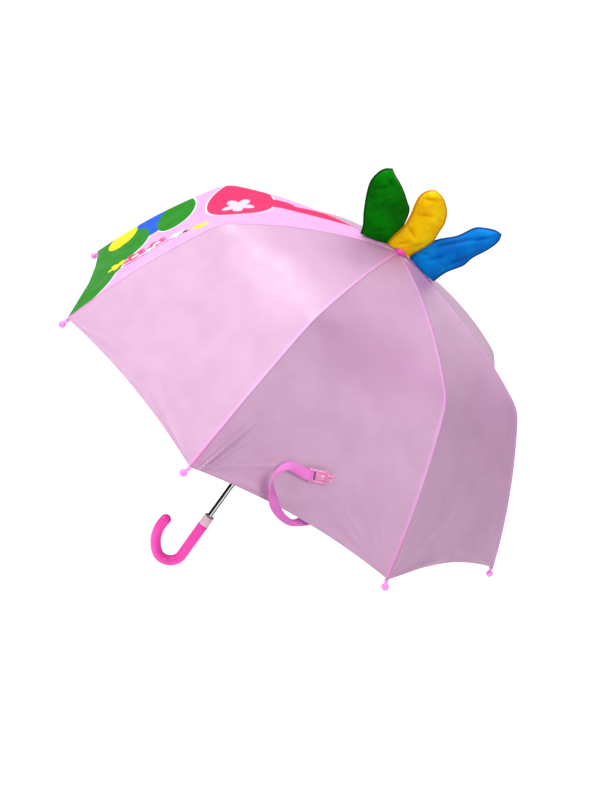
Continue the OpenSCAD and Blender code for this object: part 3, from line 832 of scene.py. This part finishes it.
# ---------------------------------------------------------------- stuffed spikes
# Each spike lies in an upright plane: "plane" gives x at one y, and its slope. "front" and "back" are
# its outline from the root to the shared tip: y, height over the canopy's top edge. Millimetres.
# "colours" are the satin, its darker clouds and stitches, and the painted shade of its creases and sewn rim.
SPIKES = {
    "green": {"plane": (-4, -60, -0.3), "body": "panel_upper_6", "tip": (-71, 84.5),
              "front": [(-55, -10), (-60, 4), (-70, 20), (-81, 42), (-86, 58), (-84, 72), (-79, 80)],
              "back": [(-15, -6), (-11, 14), (-17, 47), (-29, 59), (-46, 71), (-64, 80)],
              "colours": ((0, 114, 0), (0, 86, 0), (0, 66, 0))},
    "yellow": {"plane": (-12.5, 0, 0), "body": "shaft", "tip": (-7, 90),
               "front": [(-17, -4), (-19, 5), (-17, 15), (-14, 31), (-16, 49), (-19, 61), (-20, 73),
                         (-16, 83)],
               "back": [(19, 0), (17, 4), (26, 23), (30, 35), (29, 49), (28, 62), (21, 76), (7, 87)],
               "colours": ((224, 188, 4), (216, 166, 2), (196, 122, 0))},
    "blue": {"plane": (-4, 60, 0.3), "body": "panel_upper_2", "tip": (92, 92.5),
             "front": [(22, -9), (17, 4), (22, 20), (32, 39), (49, 58), (59, 77), (66, 84), (82, 92)],
             "back": [(58, -14), (65, 10), (73, 24), (78, 33), (81, 47), (90, 67), (94, 82)],
             "colours": ((1, 116, 196), (1, 90, 172), (0, 62, 134))},
}
# Soft creases pressed into each spike: from, to, half width and depth, in millimetres
CREASES = {
    "green": [((-81, 50), (-62, 66), 3, 2.8), ((-74, 72), (-54, 66), 2.6, 2.4),
              ((-50, 4), (-28, 18), 3, 2.0), ((-62, 22), (-54, 50), 4, 1.4),
              ((-40, 28), (-24, 48), 3, 1.8), ((-80, 40), (-70, 44), 2.4, 2.2)],
    "yellow": [((-15, 34), (10, 26), 2.2, 3.0), ((-14, 50), (14, 64), 2.6, 2.6),
               ((-18, 72), (4, 82), 2.4, 2.6), ((-10, 4), (4, 18), 2.4, 2.0),
               ((26, 34), (8, 10), 3, 2.0), ((14, 64), (26, 60), 2.2, 2.0)],
    "blue": [((26, 20), (70, 70), 2.4, 3.2), ((64, 62), (90, 88), 2.2, 2.6),
             ((54, 8), (82, 58), 2.4, 2.8), ((34, 6), (58, 36), 2.6, 2.4),
             ((22, 12), (40, 20), 2.2, 2.0), ((72, 44), (90, 76), 2, 2.0)],
}
SPIKE_T = 8.5 * MM
SPIKE_RIM = 1.6 * MM
OUTLINE_STEPS = 400


def crease_depth(name, y, z):
    """Depth of a spike's creases at a point of its plane."""
    total = 0
    for a, b, width, depth in CREASES[name]:
        a, b = np.array(a, float), np.array(b, float)
        p = np.array((y, z)) / MM
        share = np.clip((p - a) @ (b - a) / ((b - a) @ (b - a)), -0.15, 1.15)
        gap = np.linalg.norm(p - a - share * (b - a))
        end = math.cos(math.pi * (share - 0.5) * 0.75) ** 2
        total += depth * MM * end * math.exp(-(gap / width) ** 2)
    return total


def canopy_height(x, y):
    """Height of the canopy's outer face over a point near the crown."""
    k = round(math.atan2(y, x) / (2 * HALF_GORE))
    rho = x * math.cos(k * 2 * HALF_GORE) + y * math.sin(k * 2 * HALF_GORE)
    reach = max(rho / math.cos(HALF_GORE) - TOP_EDGE_R, 0)
    return seam(reach)[1]


def even_path(points, count):
    """The smooth path through the points, sampled at even lengths."""
    path = np.array(smooth_path(points, 12))
    run = np.concatenate([[0], np.cumsum(np.linalg.norm(np.diff(path, axis=0), axis=1))])
    return np.array([np.interp(np.linspace(0, run[-1], count), run, path[:, i]) for i in (0, 1)]).T


def spike_piece(name, spec):
    """Two cloth halves sewn together round the outline, turned out and stuffed."""
    stations, around = 104, 96
    front = even_path(spec["front"] + [spec["tip"]], OUTLINE_STEPS)
    back = even_path(spec["back"] + [spec["tip"]], OUTLINE_STEPS)
    x0, y0, slope = spec["plane"]
    lean = Vector((1, -slope, 0)).normalized()
    rows, edge_uv, crease_uv = [], [], []
    for share in 1 - (1 - np.linspace(0, 1, stations)) ** 1.5:
        f, b = (path[round(share * (OUTLINE_STEPS - 1))] for path in (front, back))
        middle, half = (f + b) / 2 * MM, (b - f) / 2 * MM
        width = max(np.linalg.norm(half), 0.05 * MM)
        full = max(1 - SPIKE_RIM / width, 0.2)
        swell = min(1, 0.62 + share * 1.6) * min(SPIKE_T, 0.62 * width)
        row = []
        for j in range(around):
            t = 2 * math.pi * j / around
            y, z = middle + half * math.cos(t)
            side = math.copysign(1, math.sin(t)) if abs(math.sin(t)) > 1e-6 else 0
            inset = abs(math.cos(t)) / full
            body = max(1 - inset * inset, 0) ** 0.62
            thick = swell * body
            dent = crease_depth(name, y, z)
            thick -= dent * body
            thick += 1.1 * MM * noise.noise(Vector((y * 60, z * 60, 2.0 + 4 * side))) * body
            fine = noise.noise(Vector((y * 170 + z * 60, z * 90, 9.0 + 4 * side)))
            thick += 0.5 * MM * (1 - abs(fine) * 4) * body * (1 - body * 0.5)
            pucker = math.sin(share * 95 + 1.5 * math.sin(share * 17))
            thick += 0.5 * MM * pucker * body * math.exp(-(body / 0.5) ** 2)
            thick = max(thick, min(0.45 * MM, width * 0.5)) * abs(side)
            point = Vector((x0 * MM + slope * (y - y0 * MM), y, CANOPY_TOP + z)) + lean * thick * side
            if share < 0.25:
                point.z = max(point.z, canopy_height(point.x, point.y) + 0.4 * MM)
            row.append(point)
            edge_uv.append((width * (1 - abs(math.cos(t))), share * 0.1 + 0.2 * (math.cos(t) > 0)))
            crease_uv.append((dent, share))
        rows.append(row)
    mesh = Mesh()
    mesh.grid(rows, wrap=True, caps=True)
    obj = mesh.build(f"crest_{name}", plush_paint(f"{name}_satin", *spec["colours"]))
    put_uv(obj, "edge", edge_uv)
    put_uv(obj, "crease", crease_uv)
    smooth = obj.modifiers.new("smooth", "SUBSURF")
    smooth.levels = smooth.render_levels = 1
    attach(obj, spec["body"])
    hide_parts(f"spike_{name}")


def make_spikes():
    for name, spec in SPIKES.items():
        spike_piece(name, spec)


# ---------------------------------------------------------------- strap
# Middle line of the strap in millimetres, from inside the hem to its end over the clip's first bar,
# and the direction of its width at each of those points
STRAP_PATH = [(305, 17, 262), (311, 9, 258), (319, -2, 255), (323, -16, 258), (324, -28, 264),
              (324, -36, 271), (322, -42, 278), (319, -47, 285), (314, -49, 293), (309, -46, 301),
              (303, -38, 307), (301, -26, 307.5), (301, -17, 307.6), (302.4, -12.7, 309.1),
              (301.7, -8.3, 310.5)]
STRAP_ACROSS = [(-0.6, -0.6, 0.5), (-0.9, -0.3, 0.3), (-1, 0.1, 0.2), (-0.9, 0.3, 0.4), (-0.6, 0.6, 0.5),
                (-0.6, 0.7, 0.4), (-0.8, 0.6, 0), (-0.9, 0.4, -0.3), (-0.9, 0, -0.4), (-1, -0.2, -0.1),
                (-0.9, -0.2, 0.3), (-0.6, 0, 0.8), (-0.4, -0.1, 0.9), (-0.38, -0.3, 0.87),
                (-0.38, -0.32, 0.87)]
STRAP_W = 12 * MM
STRAP_T = 0.8 * MM


def make_strap():
    """Ribbon that curls from inside the hem up over the outside of the panel."""
    path = [Vector(p) * MM for p in smooth_path(STRAP_PATH, 8)]
    across = smooth_path([np.array(a) / np.linalg.norm(a) for a in STRAP_ACROSS], 8)
    rows, uv = [], []
    run = 0.0
    for i, (point, width) in enumerate(zip(path, across)):
        width = Vector(width).normalized()
        if i:
            run += (point - path[i - 1]).length
        row = []
        for u in np.linspace(-0.5, 0.5, 9):
            row.append(point + width * STRAP_W * u)
            uv.append((u * STRAP_W, run))
        rows.append(row)
    mesh = Mesh()
    mesh.shell(rows, STRAP_T)
    obj = mesh.build("closing_strap", STRAP_PINK, sharp=60)
    put_uv(obj, "cloth", uv * 2)
    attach(obj, "panel_lower_8")
    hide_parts("strap")


def make_clip():
    """Moulded clip on the strap's end: a frame with two slots, a rib between them and a hooked tongue."""
    low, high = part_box("strap_clip")
    centre = (low + high) / 2
    along = Vector((-4, 26, 8)).normalized()
    across = Vector((-0.4, 0.1, 0.9))
    across = (across - along * across.dot(along)).normalized()
    out = across.cross(along)
    if out.x < 0:
        out = -out
    place = Matrix((along, across, out)).transposed().to_4x4()
    place.translation = centre
    length, width, bar, t = 28 * MM, 14.8 * MM, 3 * MM, 3.4 * MM
    mesh = Mesh()

    def bar_from(x0, y0, x1, y1, w, h):
        """A bar with softened edges between two points of the clip's plane."""
        a, b = Vector((x0, y0, 0)), Vector((x1, y1, 0))
        d = (b - a).normalized()
        side = Vector((-d.y, d.x, 0))
        c = 0.25 * min(w, h)
        section = [(-w / 2, -h / 2 + c), (-w / 2 + c, -h / 2), (w / 2 - c, -h / 2), (w / 2, -h / 2 + c),
                   (w / 2, h / 2 - c), (w / 2 - c, h / 2), (-w / 2 + c, h / 2), (-w / 2, h / 2 - c)]
        up = Vector((0, 0, 1))
        frames = [(place @ p, (place.to_3x3() @ side) * f, (place.to_3x3() @ up) * f)
                  for p, f in ((a - d * c, 0.7), (a, 1), (b, 1), (b + d * c, 0.7))]
        mesh.sweep(frames, section)

    half_l, half_w = length / 2 - bar / 2, width / 2 - bar / 2
    for side in (-1, 1):
        bar_from(-half_l, side * half_w, half_l * 0.7, side * half_w, bar, t)
    for x in (-half_l, -half_l * 0.35, half_l * 0.7):
        bar_from(x, -half_w, x, half_w, bar, t)
    bar_from(-half_l * 0.3, 0, half_l * 0.65, 0, width * 0.6, t * 0.7)
    bar_from(half_l * 0.7, -1.5 * MM, half_l * 1.15, -1.5 * MM, bar, t * 0.8)
    bar_from(half_l * 0.7, 2.5 * MM, half_l * 1.3, 2.5 * MM, bar * 0.9, t * 0.8)
    bar_from(half_l * 1.25, 1.5 * MM, half_l * 1.25, 4.5 * MM, bar * 0.8, t)
    obj = mesh.build("strap_clip_plastic", CLIP_CLEAR, sharp=50)
    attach(obj, "panel_lower_8")
    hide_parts("strap_clip")


# ---------------------------------------------------------------- stage, light and camera
FLOOR_DROP = 1.3
CAMERA_AZ, CAMERA_EL, CAMERA_ROLL = (math.radians(a) for a in (75.6, 20.7, 35.9))
CAMERA_DIST = 1.645
RIM_Z = 243.4 * MM
SHIFT = (0.01414, 0.01793)
SENSOR, LENS = 36.0, 55.2045


def make_camera():
    """The photograph's camera: its place, its roll and its lens."""
    back = Vector((math.sin(CAMERA_AZ) * math.cos(CAMERA_EL), -math.cos(CAMERA_AZ) * math.cos(CAMERA_EL),
                   math.sin(CAMERA_EL)))
    level = Vector((math.cos(CAMERA_AZ), math.sin(CAMERA_AZ), 0))
    upright = back.cross(level)
    c, s = math.cos(CAMERA_ROLL), math.sin(CAMERA_ROLL)
    right, up = level * c + upright * s, upright * c - level * s
    data = bpy.data.cameras.new("camera")
    data.sensor_width = SENSOR
    data.lens = LENS
    data.shift_x, data.shift_y = SHIFT
    camera = bpy.data.objects.new("camera", data)
    turn = Matrix((right, up, back)).transposed().to_4x4()
    turn.translation = Vector((0, 0, RIM_Z)) + back * CAMERA_DIST
    camera.matrix_world = turn
    bpy.context.scene.collection.objects.link(camera)
    bpy.context.scene.camera = camera


def area_light(name, towards, size, watts):
    """A soft white lamp that looks at the middle of the rim from a direction."""
    data = bpy.data.lights.new(name, "AREA")
    data.shape = "DISK"
    data.size = size
    data.energy = watts
    light = bpy.data.objects.new(name, data)
    direction = Vector(towards).normalized()
    light.location = Vector((0, 0, RIM_Z)) + direction * LIGHT_DIST
    light.rotation_mode = "QUATERNION"
    light.rotation_quaternion = direction.to_track_quat("Z", "Y")
    bpy.context.scene.collection.objects.link(light)


def dark_card(name, start, end):
    """A curved black panel that only reflections see, so that the bright tube shows its streaks."""
    radius, half_h = 0.5, 0.15
    middle = TUBE_IN_VIEW - radius * math.tan(CAMERA_EL)
    turns = np.radians(np.linspace(start, end, 24))
    mesh = Mesh()
    mesh.grid([[polar(radius, turn, middle + side * half_h) for side in (-1, 1)] for turn in turns])
    card = mesh.build(name, Paint(name, (4, 4, 4), 1.0).material)
    card.visible_camera = card.visible_diffuse = card.visible_shadow = card.visible_transmission = False


# Height of the stretch of tube that shows under the canopy
TUBE_IN_VIEW = 70 * MM
# Strength of the white world as the camera sees it, and as it lights the object
BACKGROUND, AMBIENT = 1.1, 0.64
LIGHT_DIST = 2.3
# Name, direction from the object, diameter in metres and power in watts
LIGHTS = (
    ("key", (0.16, -0.83, 0.52), 1.5, 14.5),
    ("key_low", (0.26, -0.92, 0.28), 1.4, 15),
    ("top_front", (-0.19, -0.48, 0.85), 1.0, 30),
    ("top_back", (-0.6, -0.3, 0.74), 1.2, 4),
    ("fill", (0.76, 0.23, 0.61), 0.9, 13.5),
    ("over", (-0.6, 0.3, 0.72), 1.2, 6),
    ("side", (0.95, 0.6, 0.1), 0.9, 3),
)


def make_stage():
    """Floor far below, white world, lamps and the cards that the chromed tube reflects."""
    size = 60
    data = bpy.data.meshes.new("floor")
    z = cad_box[0].z - FLOOR_DROP
    corners = [(-size, -size, z), (size, -size, z), (size, size, z), (-size, size, z)]
    data.from_pydata(corners, [], [(0, 1, 2, 3)])
    floor = bpy.data.objects.new("floor", data)
    data.materials.append(Paint("floor_white", (250, 250, 250), 0.9, Emission_Strength=0.5).material)
    bpy.context.scene.collection.objects.link(floor)
    world = bpy.data.worlds.new("studio")
    world.use_nodes = True
    tree = world.node_tree
    seen = tree.nodes.new("ShaderNodeLightPath").outputs["Is Camera Ray"]
    strength = tree.nodes.new("ShaderNodeMapRange")
    tree.links.new(seen, strength.inputs["Value"])
    strength.inputs["To Min"].default_value = AMBIENT
    strength.inputs["To Max"].default_value = BACKGROUND
    tree.links.new(strength.outputs[0], tree.nodes["Background"].inputs["Strength"])
    tree.nodes["Background"].inputs["Color"].default_value = (1, 1, 1, 1)
    bpy.context.scene.world = world
    for light in LIGHTS:
        area_light(*light)
    dark_card("flag_left", -165, -15)
    dark_card("flag_right", 28, 78)
    bpy.context.scene.view_settings.view_transform = "Standard"


make_camera()
make_stage()
make_ribs()
make_canopy()
make_handle()
make_collar()
paint_cad()
make_spikes()
make_strap()
make_clip()
